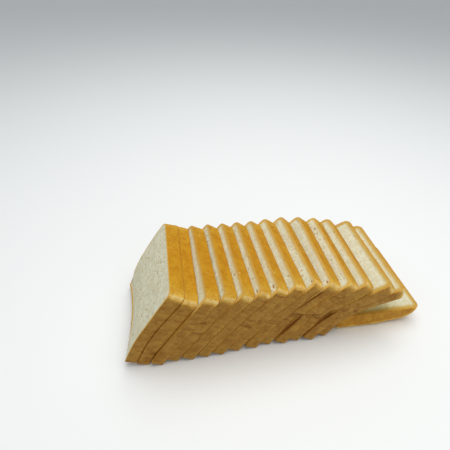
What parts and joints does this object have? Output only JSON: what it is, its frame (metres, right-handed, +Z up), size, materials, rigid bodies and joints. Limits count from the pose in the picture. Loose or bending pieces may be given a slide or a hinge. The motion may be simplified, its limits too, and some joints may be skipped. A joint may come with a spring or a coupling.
{
  "type": "tin loaf",
  "caption": "White sandwich loaf baked in a lidded tin, cut in slices that lean in a fanned row over the flat end piece.",
  "frame": {"origin": "on the ground, under the centre of the bounding box of the whole row", "axes": "+X along the row, from the first slice to the flat end piece; +Y across the loaf, away from the side that faces the viewer; +Z up"},
  "size_m": [0.3152, 0.1118, 0.0958],
  "materials": {
    "bread": "matte"
  },
  "bodies": {
    "root": {"slice_01": "bread", "slice_02": "bread", "slice_03": "bread", "slice_04": "bread", "slice_05": "bread", "slice_06": "bread", "slice_07": "bread", "slice_08": "bread", "slice_09": "bread", "slice_10": "bread", "slice_11": "bread", "slice_12": "bread", "slice_13": "bread", "slice_14": "bread", "end_piece": "bread"}
  },
  "joints": []
}
